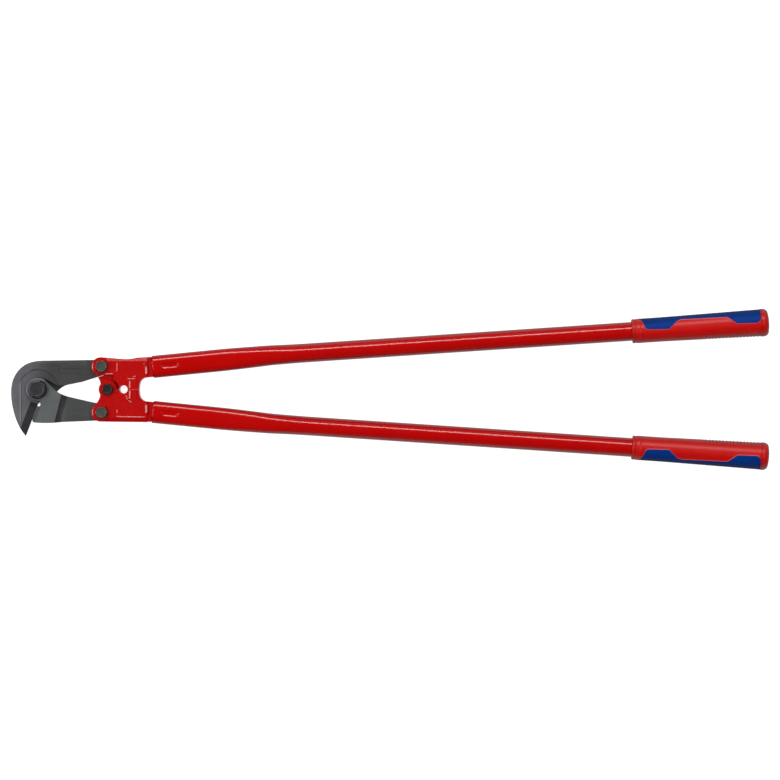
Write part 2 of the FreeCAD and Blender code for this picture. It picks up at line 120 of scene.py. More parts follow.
def buildStage(setup):
    cove = setup["coveRadius"]
    foot = setup["floorRadius"] - cove
    profile = [(0.0, 0.0), (2.0, 0.0), (4.0, 0.0), (foot, 0.0)]
    for step in range(1, setup["coveSteps"] + 1):
        turn = math.pi / 2 * step / setup["coveSteps"]
        profile.append((foot + cove * math.sin(turn), cove * (1 - math.cos(turn))))
    profile.append((setup["floorRadius"], setup["wallTop"]))
    turns = [math.tau * k / setup["sides"] for k in range(setup["sides"])]
    rows = [[(r * math.cos(t), r * math.sin(t), z) for t in turns] for r, z in profile]
    bm = bmesh.new()
    addShell(bm, rows, closeRound=True)
    weld(bm)
    for face in bm.faces:
        upright = abs(face.normal.z) <= 0.01
        if face.normal.z < -0.01 or (upright and face.normal.dot(face.calc_center_median()) > 0):
            face.normal_flip()
    mesh = bpy.data.meshes.new("floor")
    bm.to_mesh(mesh)
    bm.free()
    floor = bpy.data.objects.new("floor", mesh)
    collection.objects.link(floor)
    material, shader = makeMaterial("paleFloor")
    shader.inputs["Base Color"].default_value = setup["colour"]
    shader.inputs["Roughness"].default_value = 0.95
    shader.inputs["Specular IOR Level"].default_value = 0.1
    shader.inputs["Emission Color"].default_value = (1, 1, 1, 1)
    shader.inputs["Emission Strength"].default_value = setup["glow"]
    mesh.materials.append(material)
    wall, wallShader = makeMaterial("paleWall")
    wallShader.inputs["Base Color"].default_value = setup["wallColour"]
    wallShader.inputs["Roughness"].default_value = 0.95
    mesh.materials.append(wall)
    for face in mesh.polygons:
        face.material_index = 1 if face.center.z > 0.05 else 0


buildStage(stageSetup)
world = bpy.data.worlds.new("studio")
world.use_nodes = True
world.node_tree.nodes["Background"].inputs["Color"].default_value = (1, 1, 1, 1)
world.node_tree.nodes["Background"].inputs["Strength"].default_value = stageSetup["worldStrength"]
scene.world = world

# Lamps by their direction: degrees from straight up, then degrees round from +X.
lamps = {
    "overLeft": {"tilt": 27, "round": 180, "far": 4.5, "size": (1.5, 2.4), "power": 92, "glossy": False},
    "overRight": {"tilt": 27, "round": 0, "far": 4.5, "size": (1.5, 2.4), "power": 92, "glossy": False},
    "streak": {"tilt": 41, "round": 90, "far": 3.2, "size": (4.2, 0.46), "power": 84, "glossy": True},
    "upperPanel": {"tilt": 66, "round": 90, "far": 3.6, "size": (4.5, 1.0), "power": 3, "glossy": True},
    "leftPanel": {"tilt": 52, "round": 180, "far": 5.5, "size": (2.4, 2.4), "power": 165, "glossy": True},
}
for name, setup in lamps.items():
    lamp = bpy.data.objects.new(name, bpy.data.lights.new(name, "AREA"))
    collection.objects.link(lamp)
    lamp.data.shape = "RECTANGLE"
    lamp.data.size, lamp.data.size_y = setup["size"]
    lamp.data.energy = setup["power"]
    lamp.visible_glossy = setup["glossy"]
    tilt, turn = math.radians(setup["tilt"]), math.radians(setup["round"])
    lamp.location = (setup["far"] * math.sin(tilt) * math.cos(turn),
                     setup["far"] * math.sin(tilt) * math.sin(turn), setup["far"] * math.cos(tilt))
    lamp.rotation_euler = (-lamp.location).to_track_quat("-Z", "Y").to_euler()
print("stage ready")


# Shared surface effects. They give only values, masks and normals.
def effectGroup(name, inputs, outputs):
    group = bpy.data.node_groups.new(name, "ShaderNodeTree")
    for label, kind, value in inputs:
        socket = group.interface.new_socket(label, in_out="INPUT", socket_type=kind)
        if value is not None:
            socket.default_value = value
    for label, kind in outputs:
        group.interface.new_socket(label, in_out="OUTPUT", socket_type=kind)
    return group, group.nodes.new("NodeGroupInput"), group.nodes.new("NodeGroupOutput")


# Adds a node, sets its properties, and links or sets the inputs in sources.
def node(tree, kind, sources=None, **settings):
    made = tree.nodes.new(kind)
    for key, value in settings.items():
        setattr(made, key, value)
    for key, value in (sources or {}).items():
        if isinstance(value, bpy.types.NodeSocket):
            tree.links.new(value, made.inputs[key])
        else:
            made.inputs[key].default_value = value
    return made


# Maps a value from one range to another.
def ranged(tree, value, low, high, toLow=0.0, toHigh=1.0):
    return node(tree, "ShaderNodeMapRange", {"Value": value, "From Min": low, "From Max": high,
                "To Min": toLow, "To Max": toHigh}).outputs[0]


# Mixes a colour, given or linked, with a given one.
def mixColour(tree, part, first, second):
    if not isinstance(first, bpy.types.NodeSocket):
        first = (*first, 1)
    return node(tree, "ShaderNodeMix", {0: part, 6: first, 7: (*second, 1)}, data_type="RGBA").outputs[2]


def noise(tree, where, scale, detail):
    return node(tree, "ShaderNodeTexNoise", {"Vector": where, "Scale": scale, "Detail": detail}).outputs[0]


# Fine and broad noise from object coordinates: a value about 0.5, a mask of pits and a bumped normal.
def buildGrain():
    group, entry, leave = effectGroup("surfaceGrain", [
        ("Fine", "NodeSocketFloat", 900.0), ("Broad", "NodeSocketFloat", 60.0),
        ("Depth", "NodeSocketFloat", 0.15), ("Pits", "NodeSocketFloat", 0.35)],
        [("Value", "NodeSocketFloat"), ("Mask", "NodeSocketFloat"), ("Normal", "NodeSocketVector")])
    where = node(group, "ShaderNodeTexCoord").outputs["Object"]
    fine = noise(group, where, entry.outputs["Fine"], 3.0)
    broad = noise(group, where, entry.outputs["Broad"], 4.0)
    value = node(group, "ShaderNodeMix", {0: 0.45, 2: broad, 3: fine}).outputs[0]
    pitted = ranged(group, fine, entry.outputs["Pits"], 0.2)
    bump = node(group, "ShaderNodeBump", {"Height": value, "Strength": entry.outputs["Depth"],
                "Distance": 0.0004})
    group.links.new(value, leave.inputs["Value"])
    group.links.new(pitted, leave.inputs["Mask"])
    group.links.new(bump.outputs[0], leave.inputs["Normal"])
    return group


# Soft settled dust: a cloudy mask.
def buildDust():
    group, entry, leave = effectGroup("settledDust", [
        ("Scale", "NodeSocketFloat", 35.0), ("Amount", "NodeSocketFloat", 0.1)],
        [("Mask", "NodeSocketFloat")])
    where = node(group, "ShaderNodeTexCoord").outputs["Object"]
    lifted = ranged(group, noise(group, where, entry.outputs["Scale"], 5.0), 0.45, 0.75)
    scaled = node(group, "ShaderNodeMath", {0: lifted, 1: entry.outputs["Amount"]}, operation="MULTIPLY")
    group.links.new(scaled.outputs[0], leave.inputs["Mask"])
    return group


effects = {"grain": buildGrain(), "dust": buildDust()}


# A procedural finish: two tones broken by grain, pits, dust, and roughness that follows them; some looks add
# painted shade at grazing edges.
def finishMaterial(name, look):
    material, shader = makeMaterial(name)
    tree = material.node_tree
    grain = node(tree, "ShaderNodeGroup", node_tree=effects["grain"])
    for key in ("Fine", "Broad", "Depth", "Pits"):
        grain.inputs[key].default_value = look[key.lower()]
    dust = node(tree, "ShaderNodeGroup", node_tree=effects["dust"])
    dust.inputs["Amount"].default_value = look["dust"]
    value = grain.outputs["Value"]
    colour = mixColour(tree, ranged(tree, value, 0.35, 0.65), look["dark"], look["light"])
    if "turned" in look:
        # The finish changes along the piece, from the worked end to the rest.
        where = node(tree, "ShaderNodeTexCoord").outputs["Object"]
        along = node(tree, "ShaderNodeSeparateXYZ", {0: where}).outputs["X"]
        part = ranged(tree, along, look["turned"]["from"], look["turned"]["to"])
        colour = mixColour(tree, part, colour, look["turned"]["colour"])
    colour = mixColour(tree, grain.outputs["Mask"], colour, look["pit"])
    colour = mixColour(tree, dust.outputs["Mask"], colour, look["dustColour"])
    specular = look["specular"]
    shader.inputs["Specular IOR Level"].default_value = specular
    if "rim" in look:
        # Grazing faces are painted darker, a painted shade at the edges, and reflect less.
        facing = node(tree, "ShaderNodeLayerWeight", {"Blend": 0.5}).outputs["Facing"]
        turnedAway = ranged(tree, facing, 0.12, 0.75)
        colour = mixColour(tree, turnedAway, colour, look["rim"])
        fading = ranged(tree, turnedAway, 0.0, 1.0, specular, specular * 0.25)
        tree.links.new(fading, shader.inputs["Specular IOR Level"])
    tree.links.new(colour, shader.inputs["Base Color"])
    tree.links.new(ranged(tree, value, 0.3, 0.7, *look["rough"]), shader.inputs["Roughness"])
    tree.links.new(grain.outputs["Normal"], shader.inputs["Normal"])
    shader.inputs["Metallic"].default_value = look.get("metal", 0.0)
    return material


# A look's rim colour is painted shade mixed in at grazing edges.
looks = {
    "forgedJaw": {"dark": (0.058, 0.057, 0.064), "light": (0.076, 0.075, 0.084),
                  "pit": (0.03, 0.03, 0.032), "dustColour": (0.12, 0.12, 0.12), "rough": (0.4, 0.52),
                  "metal": 0.1, "fine": 420.0, "broad": 45.0, "depth": 0.12, "pits": 0.26, "dust": 0.06,
                  "specular": 0.25, "turned": {"from": -0.452, "to": -0.425,
                  "colour": (0.031, 0.031, 0.032)}},
    "forgedBlade": {"dark": (0.060, 0.064, 0.065), "light": (0.074, 0.080, 0.082),
                    "pit": (0.03, 0.03, 0.03), "dustColour": (0.12, 0.12, 0.12), "rough": (0.4, 0.52),
                    "metal": 0.1, "fine": 420.0, "broad": 45.0, "depth": 0.12, "pits": 0.26, "dust": 0.06,
                    "specular": 0.25, "turned": {"from": -0.415, "to": -0.405,
                    "colour": (0.038, 0.039, 0.039)}},
    # Dark finish: partly forging scale, partly painted shade on slopes, sides, recess floors and thin dark
    # lines.
    "forgedScale": {"dark": (0.018, 0.018, 0.019), "light": (0.027, 0.027, 0.028),
                    "pit": (0.015, 0.015, 0.015), "dustColour": (0.07, 0.07, 0.07), "rough": (0.5, 0.62),
                    "metal": 0.05, "fine": 500.0, "broad": 70.0, "depth": 0.16, "pits": 0.27, "dust": 0.05,
                    "specular": 0.18},
    "boltSteel": {"dark": (0.020, 0.020, 0.024), "light": (0.029, 0.029, 0.034), "pit": (0.01, 0.01, 0.01),
                  "dustColour": (0.1, 0.1, 0.1), "rough": (0.3, 0.42), "metal": 0.2, "fine": 900.0,
                  "broad": 150.0, "depth": 0.08, "pits": 0.25, "dust": 0.04, "specular": 0.2},
    "sideSteel": {"dark": (0.034, 0.036, 0.031), "light": (0.052, 0.055, 0.047),
                  "pit": (0.015, 0.017, 0.014), "dustColour": (0.1, 0.1, 0.1), "rough": (0.32, 0.45),
                  "metal": 0.2, "fine": 900.0, "broad": 150.0, "depth": 0.08, "pits": 0.25, "dust": 0.04,
                  "specular": 0.25},
    # Near-black painted shadow, laid in thin rings round the bolts on their shaded side.
    "greasyGap": {"dark": (0.007, 0.006, 0.006), "light": (0.012, 0.010, 0.010),
                  "pit": (0.004, 0.004, 0.004), "dustColour": (0.04, 0.03, 0.03), "rough": (0.45, 0.6),
                  "metal": 0.0, "fine": 700.0, "broad": 110.0, "depth": 0.1, "pits": 0.25, "dust": 0.03,
                  "specular": 0.12},
    "toggleSteel": {"dark": (0.012, 0.011, 0.010), "light": (0.018, 0.017, 0.015),
                    "pit": (0.008, 0.007, 0.007), "dustColour": (0.06, 0.05, 0.05), "rough": (0.32, 0.45),
                    "metal": 0.2, "fine": 900.0, "broad": 150.0, "depth": 0.08, "pits": 0.25, "dust": 0.03,
                    "specular": 0.2},
    "redEnamel": {"dark": (0.282, 0.0007, 0.0006), "light": (0.300, 0.0010, 0.0008),
                  "pit": (0.22, 0.0006, 0.0005), "dustColour": (0.34, 0.02, 0.016), "rough": (0.13, 0.17),
                  "fine": 260.0, "broad": 25.0, "depth": 0.012, "pits": 0.2, "dust": 0.02, "specular": 0.4,
                  "rim": (0.09, 0.002, 0.0015)},
    "leverEnamel": {"dark": (0.268, 0.0007, 0.0006), "light": (0.290, 0.0010, 0.0008),
                    "pit": (0.22, 0.0006, 0.0005), "dustColour": (0.34, 0.02, 0.016),
                    "rough": (0.22, 0.27), "fine": 260.0, "broad": 25.0, "depth": 0.02, "pits": 0.2,
                    "dust": 0.02, "specular": 0.4, "rim": (0.10, 0.002, 0.002)},
    "gripRed": {"dark": (0.310, 0.0012, 0.0008), "light": (0.340, 0.0022, 0.0012),
                "pit": (0.25, 0.001, 0.001), "dustColour": (0.36, 0.03, 0.02), "rough": (0.34, 0.42),
                "fine": 1400.0, "broad": 30.0, "depth": 0.04, "pits": 0.2, "dust": 0.03, "specular": 0.3,
                "rim": (0.15, 0.004, 0.003)},
    "gripLip": {"dark": (0.33, 0.035, 0.06), "light": (0.38, 0.055, 0.085), "pit": (0.28, 0.02, 0.03),
                "dustColour": (0.42, 0.1, 0.12), "rough": (0.34, 0.42), "fine": 1400.0, "broad": 30.0,
                "depth": 0.04, "pits": 0.2, "dust": 0.03, "specular": 0.3, "rim": (0.18, 0.02, 0.03)},
    "inlayBlue": {"dark": (0.0006, 0.016, 0.110), "light": (0.0010, 0.022, 0.140),
                  "pit": (0.001, 0.012, 0.06), "dustColour": (0.02, 0.05, 0.16), "rough": (0.42, 0.5),
                  "fine": 1800.0, "broad": 40.0, "depth": 0.05, "pits": 0.2, "dust": 0.03,
                  "specular": 0.06, "rim": (0.0008, 0.009, 0.045)},
}
finishes = {name: finishMaterial(name, look) for name, look in looks.items()}
print("finishes ready:", ", ".join(finishes))


# Where the pins sit, how high the front faces are, and the heights that the jaw recess's floor lies between,
# in millimetres.
pivots = {"jaw": (-441.5, 0.0), "upperSide": (-361.3, 28.8), "lowerSide": (-361.3, -28.8),
          "toggle": (-353.5, 0.0)}
faceHeights = {"boss": 26.5, "upperJaw": 22.0, "lever": 28.5, "lug": 29.1}
recessFloor = (17.0, 20.0)


# Forged pieces: the CAD solids with their edges rounded.
def roundForging(source, name, body, width, materials):
    bm = bmesh.new()
    bm.from_mesh(nodes[source].data)
    bmesh.ops.remove_doubles(bm, verts=bm.verts, dist=2e-6)
    bmesh.ops.dissolve_limit(bm, angle_limit=math.radians(0.6), verts=bm.verts, edges=bm.edges)
    for face in bm.faces:
        face.smooth = True
        # Flat faces and faces turned up toward the left lamp keep the lighter finish, partly ground steel
        # and partly a painted lit side. Slopes, sides and recess floors get the dark finish, partly forging
        # scale and partly painted shade.
        sloped = abs(face.normal.z) < 0.97
        height = face.calc_center_median().z / mm
        # Recess floors between these heights get painted shade.
        recessed = face.normal.z > 0.97 and recessFloor[0] < height < recessFloor[1]
        groundAndLitSide = face.normal.z > 0.2 and face.normal.x < -0.2
        if len(materials) > 1 and (sloped or recessed) and not groundAndLitSide:
            face.material_index = 1
    # Edges that turn 28 to 105 degrees are rounded. The sharper cutting edges stay as they are.
    weights = bm.edges.layers.float.new("bevel_weight_edge")
    for edge in bm.edges:
        turn = math.degrees(edge.calc_face_angle(0.0))
        edge[weights] = 1.0 if 28.0 < turn < 105.0 else 0.0
    piece = settle(bm, name, materials, source, body, 28.0)
    bevel = piece.modifiers.new("rounding", "BEVEL")
    bevel.width = width * mm
    bevel.segments = 3
    bevel.limit_method = "WEIGHT"
    bevel.harden_normals = True
    bevel.use_clamp_overlap = True


forgings = {
    "upper_jaw": {"name": "upperJaw", "body": "upper_jaw", "width": 0.6,
                  "finish": ["forgedJaw", "forgedScale"]},
    "lower_jaw": {"name": "lowerJaw", "body": "lower_jaw", "width": 0.6,
                  "finish": ["forgedBlade", "forgedScale"]},
    "upper_lever": {"name": "upperLever", "body": "upper_handle", "width": 1.1, "finish": ["leverEnamel"]},
    "lower_lever": {"name": "lowerLever", "body": "lower_handle", "width": 1.1, "finish": ["leverEnamel"]},
}
for source, setup in forgings.items():
    materials = [finishes[finish] for finish in setup["finish"]]
    roundForging(source, setup["name"], setup["body"], setup["width"], materials)


# Low lines on the front faces: paths in millimetres, an arc by its first and last degree.
def arcPath(pivot, radius, first, last, step, shift=0.0):
    turns = [math.radians(degree) for degree in range(first, last + 1, step)]
    x, y = pivots[pivot]
    return [(x + shift + radius * math.cos(turn), y + radius * math.sin(turn)) for turn in turns]


ridgeSetup = {
    "upperLeverRidges": {"body": "upper_handle", "slot": "red_enamel", "finish": "leverEnamel",
                         "face": faceHeights["lever"], "lines": [
        {"path": [(-361.0, 18.8), (-354.0, 19.2), (-346.6, 19.6)], "width": 1.8, "rise": 0.52},
        {"path": [(-309.4, 31.6), (-306.4, 30.6), (-305.0, 27.0), (-304.8, 18.0)],
         "width": 3.2, "rise": 1.1},
        {"path": [(-341.7, 34.4), (-341.7, 21.8)], "width": 1.4, "rise": 0.4},
        {"path": [(-325.6, 0.5), (-325.6, 11.8)], "width": 2.6, "rise": 0.95},
        {"path": [(-328.6, 13.2), (-318.4, 13.2)], "width": 1.7, "rise": 0.5},
        {"path": [(-323.0, 15.8), (-319.0, 16.3), (-316.6, 14.0)], "width": 1.6, "rise": 0.48},
        {"path": arcPath("upperSide", 10.0, 148, 238, 6, -1.0), "width": 1.9, "rise": 0.7}]},
    "lowerLeverRidges": {"body": "lower_handle", "slot": "red_enamel", "finish": "leverEnamel",
                         "face": faceHeights["lever"], "lines": [
        {"path": [(-304.8, -18.0), (-304.8, -30.5)], "width": 3.2, "rise": 1.1},
        {"path": [(-325.6, -12.6), (-325.6, -0.5)], "width": 2.6, "rise": 0.95},
        {"path": [(-330.2, -7.0), (-328.4, -13.4), (-322.6, -17.4)], "width": 1.8, "rise": 0.6},
        {"path": [(-341.7, -24.6), (-341.7, -30.8)], "width": 1.4, "rise": 0.4},
        {"path": [(-343.2, -34.2), (-306.4, -34.8)], "width": 1.8, "rise": 0.52},
        {"path": arcPath("lowerSide", 10.0, 140, 214, 6, -1.0), "width": 1.9, "rise": 0.7}]},
    "bossRing": {"body": "lower_jaw", "slot": "forged_steel", "finish": "forgedBlade",
                 "face": faceHeights["boss"], "lines": [
        {"path": arcPath("jaw", 13.1, -10, 270, 7), "width": 2.4, "rise": 0.8}]},
    # Thin dark lines along the upper jaw's recess edge and top creases: painted shade.
    "upperJawScale": {"body": "upper_jaw", "slot": "forged_steel", "finish": "forgedScale",
                      "face": faceHeights["upperJaw"], "lines": [
        {"path": arcPath("jaw", 25.4, 12, 112, 5), "width": 1.3, "rise": 0.14},
        {"path": [(-438.7, 31.3), (-405.4, 31.3)], "width": 0.8, "rise": 0.1},
        {"path": [(-438.7, 28.5), (-412.0, 28.7)], "width": 0.8, "rise": 0.1},
        {"path": [(-416.9, 27.0), (-384.8, 26.0)], "width": 0.9, "rise": 0.1},
        {"path": [(-416.9, 27.0), (-414.2, 20.0), (-385.2, 19.6)], "width": 1.1, "rise": 0.1}]},
    # Thin near-black rings round the bolt heads on their shaded side: painted shadow.
    "jawBoltShadow": {"body": "lower_jaw", "slot": "forged_steel", "finish": "greasyGap",
                   "face": faceHeights["boss"], "lines": [
        {"path": arcPath("jaw", 11.2, -130, 74, 6), "width": 1.8, "rise": 0.14}]},
    "upperSideGap": {"body": "upper_handle", "slot": "red_enamel", "finish": "greasyGap",
                     "face": faceHeights["lug"], "lines": [
        {"path": arcPath("upperSide", 8.2, -150, 70, 6), "width": 1.0, "rise": 0.12}]},
    "lowerSideGap": {"body": "lower_handle", "slot": "red_enamel", "finish": "greasyGap",
                     "face": faceHeights["lug"], "lines": [
        {"path": arcPath("lowerSide", 8.2, -150, 70, 6), "width": 1.0, "rise": 0.12},
        {"path": arcPath("toggle", 7.3, -170, 170, 6), "width": 1.1, "rise": 0.12}]},
    "hookCrease": {"body": "upper_jaw", "slot": "forged_steel", "finish": "forgedJaw",
                   "face": faceHeights["upperJaw"], "lines": [
        {"path": [(-463.2, 9.0), (-462.8, -42.0)], "width": 2.8, "rise": 0.8}]},
}


# Across a line: a short steep side, a round crest and a long side that faces the light.
lineShape = {"across": [(-0.5, 0.0), (-0.43, 0.6), (-0.36, 0.92), (-0.28, 1.0), (-0.2, 0.93), (-0.05, 0.73),
                        (0.15, 0.46), (0.35, 0.2), (0.5, 0.0)],
             "lightSide": (-0.75, 0.66), "step": 0.8, "fade": 1.2, "sunk": 0.03, "root": 0.08}


# Splits a path into short even steps and softens its corners.
def evenPath(points, step):
    path = [Vector(point) for point in points]
    fine = []
    for a, b in zip(path, path[1:]):
        count = max(2, int((b - a).length / step))
        fine += [a + (b - a) * k / count for k in range(count)]
    fine.append(path[-1])
    inner = [(before + point * 2 + after) / 4 for before, point, after in zip(fine, fine[1:], fine[2:])]
    return [fine[0]] + inner + [fine[-1]]


def addLine(bm, line, face):
    fine = evenPath(line["path"], lineShape["step"])
    total = sum((b - a).length for a, b in zip(fine, fine[1:]))
    root = (face - lineShape["root"]) * mm
    rows = []
    run = 0.0
    for k, point in enumerate(fine):
        ahead = fine[min(k + 1, len(fine) - 1)] - fine[max(k - 1, 0)]
        aside = Vector((-ahead.y, ahead.x)).normalized()
        run += (point - fine[k - 1]).length if k else 0.0
        fade = min(1.0, min(run, total - run) / lineShape["fade"]) ** 0.5
        lit = 1 if aside.dot(Vector(lineShape["lightSide"])) > 0 else -1
        row = []
        for across, height in lineShape["across"]:
            spot = point + aside * (lit * across * line["width"] * (0.5 + 0.5 * fade))
            rise = line["rise"] * fade * height - lineShape["sunk"]
            row.append((spot.x * mm, spot.y * mm, (face + rise) * mm))
        rows.append(row)
    base = [[(*row[0][:2], root), (*row[-1][:2], root)] for row in rows]
    addShell(bm, rows)
    addShell(bm, base)
    for row in (rows[0], rows[-1]):
        addShell(bm, [row, [(x, y, root) for x, y, z in row]])
    for edge in (0, -1):
        addShell(bm, [[row[edge] for row in rows], [pair[edge] for pair in base]])


for name, setup in ridgeSetup.items():
    bm = bmesh.new()
    for line in setup["lines"]:
        addLine(bm, line, setup["face"])
    weld(bm)
    makePiece(bm, name, [finishes[setup["finish"]]], setup["body"], 60.0)
print("forgings ready")


# Bolts, washers and nuts.
def hexRadius(angle, flats, turn):
    return flats / 2 / math.cos((angle - math.radians(turn)) % (math.pi / 3) - math.pi / 6)


def ring(centre, radius, height, count=96):
    turns = [math.tau * k / count for k in range(count)]
    points = []
    for turn in turns:
        reach = radius(turn) if callable(radius) else radius
        points.append(((centre[0] + reach * math.cos(turn)) * mm, (centre[1] + reach * math.sin(turn)) * mm,
                       height * mm))
    return points


# A hexagonal block whose corners are cut back by a cone at the top, the bottom or both.
def hexBlock(bm, centre, flats, low, high, turn, chamferTop, chamferBottom, dish=0.0, bore=0.0):
    inner = flats / 2 * 0.965
    corner = flats / 2 / math.cos(math.pi / 6)
    slope = math.tan(math.radians(30))
    drop = (corner - inner) * slope

    def level(z):
        def reach(angle):
            limit = corner * 2
            if chamferTop:
                limit = min(limit, inner + (high - z) / slope)
            if chamferBottom:
                limit = min(limit, inner + (z - low) / slope)
            return min(hexRadius(angle, flats, turn), limit)
        return ring(centre, reach, z)

    steps = [drop * k / 6 for k in range(7)]
    heights = [low + s for s in steps] if chamferBottom else [low]
    heights += [high - s for s in reversed(steps)] if chamferTop else [high]
    rows = [level(z) for z in heights]
    if dish:
        rows += [ring(centre, inner * 0.90, high), ring(centre, inner * 0.82, high - dish * 0.75),
                 ring(centre, inner * 0.74, high - dish), ring(centre, 0.0, high - dish)]
    elif bore:
        rows += [ring(centre, bore + 0.6, high), ring(centre, bore, high - 0.6)]
    else:
        rows += [ring(centre, 0.0, high)]
    addShell(bm, [ring(centre, bore, low)] + rows, closeRound=True)


def lathe(bm, centre, profile):
    addShell(bm, [ring(centre, radius, height) for radius, height in profile], closeRound=True)


sideWasher = (9.0, 4.7, 5.9)
sideNut = (16.0, 4.7)
boltSetup = {
    "jaw": {"pivot": "jaw", "flats": 19.0, "face": faceHeights["boss"], "top": 34.0, "turn": 11,
            "shank": 6.0, "dish": 0.5, "washer": (12.0, 6.75, 8.35), "nut": (19.0, 6.75),
            "body": "lower_jaw", "finish": "boltSteel"},
    "upper_side": {"pivot": "upperSide", "flats": 13.6, "face": faceHeights["lug"], "top": 33.5, "turn": 15,
                   "shank": 5.0, "dish": 0.5, "washer": sideWasher, "nut": sideNut, "body": "upper_handle",
                   "finish": "sideSteel"},
    "lower_side": {"pivot": "lowerSide", "flats": 13.6, "face": faceHeights["lug"], "top": 33.5, "turn": 0,
                   "shank": 5.0, "dish": 0.35, "washer": sideWasher, "nut": sideNut, "body": "lower_handle",
                   "finish": "sideSteel"},
    "toggle": {"pivot": "toggle", "flats": 12.0, "face": faceHeights["lug"], "top": 33.5, "turn": 8,
               "shank": 5.0, "dish": 0.35, "washer": sideWasher, "nut": sideNut, "body": "lower_handle",
               "finish": "toggleSteel"},
}
for name, setup in boltSetup.items():
    centre = pivots[setup["pivot"]]
    metal = [finishes[setup["finish"]]]
    pieceName = name.replace("_s", "S")
    shank = setup["shank"]
    neck = setup["face"] - 0.02

    bm = bmesh.new()
    hexBlock(bm, centre, setup["flats"], setup["face"], setup["top"], setup["turn"], True, False,
             setup["dish"])
    lathe(bm, centre, [(0.0, neck), (shank, neck), (shank, 0.8), (shank - 0.8, 0.0), (shank * 0.45, 0.0),
                       (shank * 0.3, 0.5), (0.0, 0.5)])
    weld(bm)
    settle(bm, pieceName + "Bolt", metal, name + "_bolt", setup["body"])

    outer, low, high = setup["washer"]
    hole = shank + 0.2
    bm = bmesh.new()
    lathe(bm, centre, [(hole, low), (outer - 0.3, low), (outer, low + 0.3), (outer, high - 0.3),
                       (outer - 0.3, high), (hole, high), (hole, low)])
    weld(bm)
    settle(bm, pieceName + "Washer", metal, name + "_washer", setup["body"])

    flats, high = setup["nut"]
    bore = shank + 0.02
    bm = bmesh.new()
    hexBlock(bm, centre, flats, 0.0, high, setup["turn"], True, True, bore=bore)
    lathe(bm, centre, [(bore, 0.0), (bore, high - 0.6)])
    weld(bm)
    settle(bm, pieceName + "Nut", metal, name + "_nut", setup["body"])
print("bolts ready")


# Tubes: pressed flat over the tangs, crimped there, and round from the bend on.
tubeSetup = {"startX": -297.5, "startY": 28.2, "slopeOne": 5.62, "slopeTwo": 3.8, "bendX": -150.0,
             "endX": 458.5, "flatUntil": -222.0, "roundFrom": -100.0, "radius": 11.9, "halfWidth": 14.0,
             "halfDepth": 9.3, "squareness": 2.6, "wall": 2.0, "crimpX": -276.0, "crimpHalfLength": 10.5,
             "crimpHalfWidth": 2.9, "crimpDepth": 1.1, "middle": 17.5, "around": 96}


# How far the tube's middle is from the tool's, and its slope in degrees, at a place along X.
def tubeCentre(setup, x):
    first = math.tan(math.radians(setup["slopeOne"]))
    if x < setup["bendX"]:
        return setup["startY"] + (x - setup["startX"]) * first, setup["slopeOne"]
    bendY = setup["startY"] + (setup["bendX"] - setup["startX"]) * first
    return bendY + (x - setup["bendX"]) * math.tan(math.radians(setup["slopeTwo"])), setup["slopeTwo"]


def smooth(value):
    value = min(max(value, 0.0), 1.0)
    return value * value * (3 - 2 * value)


# One ring of points round the tube's centre line, with the crimp pressed into both flats.
def tubeRing(setup, side, x, shrink):
    y, slope = tubeCentre(setup, x)
    part = min(max((x - setup["flatUntil"]) / (setup["roundFrom"] - setup["flatUntil"]), 0), 1)
    ease = (1 + math.cos(math.pi * part)) / 2
    wide = setup["radius"] + (setup["halfWidth"] - setup["radius"]) * ease - shrink
    deep = setup["radius"] - (setup["radius"] - setup["halfDepth"]) * ease - shrink
    power = 2 + (setup["squareness"] - 2) * ease
    turn = math.radians(slope)
    points = []
    for k in range(setup["around"]):
        angle = math.tau * k / setup["around"]
        c, s = math.cos(angle), math.sin(angle)
        across = wide * math.copysign(abs(c) ** (2 / power), c)
        up = deep * math.copysign(abs(s) ** (2 / power), s)
        along = abs(x - setup["crimpX"]) / setup["crimpHalfLength"]
        aside = abs(across) / setup["crimpHalfWidth"]
        reach = (along ** 4 + aside ** 2.4) ** 0.36
        up -= math.copysign(setup["crimpDepth"] * smooth((1.25 - reach) / 0.5), up)
        points.append(((x - across * math.sin(turn)) * mm, side * (y + across * math.cos(turn)) * mm,
                       (setup["middle"] + up) * mm))
    return points


def buildTube(setup, side, name, source, body):
    start, end, wall = setup["startX"], setup["endX"], setup["wall"]
    # Close rings over the crimp, wider ones to the bend and the widest along the round part.
    xs = [start + 0.5 + k for k in range(45)]
    while xs[-1] < -90:
        xs.append(xs[-1] + 5)
    while xs[-1] < end - 25:
        xs.append(xs[-1] + 25)
    xs.append(end)
    mouth = [(8, wall), (0.5, wall), (0.15, wall - 0.15), (0.0, wall / 2), (0.12, 0.18)]
    rows = [tubeRing(setup, side, start + inset, shrink) for inset, shrink in mouth]
    rows += [tubeRing(setup, side, x, 0.0) for x in xs]
    rows += [tubeRing(setup, side, end + 0.3, wall), tubeRing(setup, side, end - 8, wall)]
    bm = bmesh.new()
    addShell(bm, rows, closeRound=True)
    weld(bm)
    settle(bm, name, [finishes["redEnamel"]], source, body, 50.0)


for side, name in ((1, "upper"), (-1, "lower")):
    buildTube(tubeSetup, side, name + "Tube", name + "_tube", name + "_handle")
print("tubes ready")


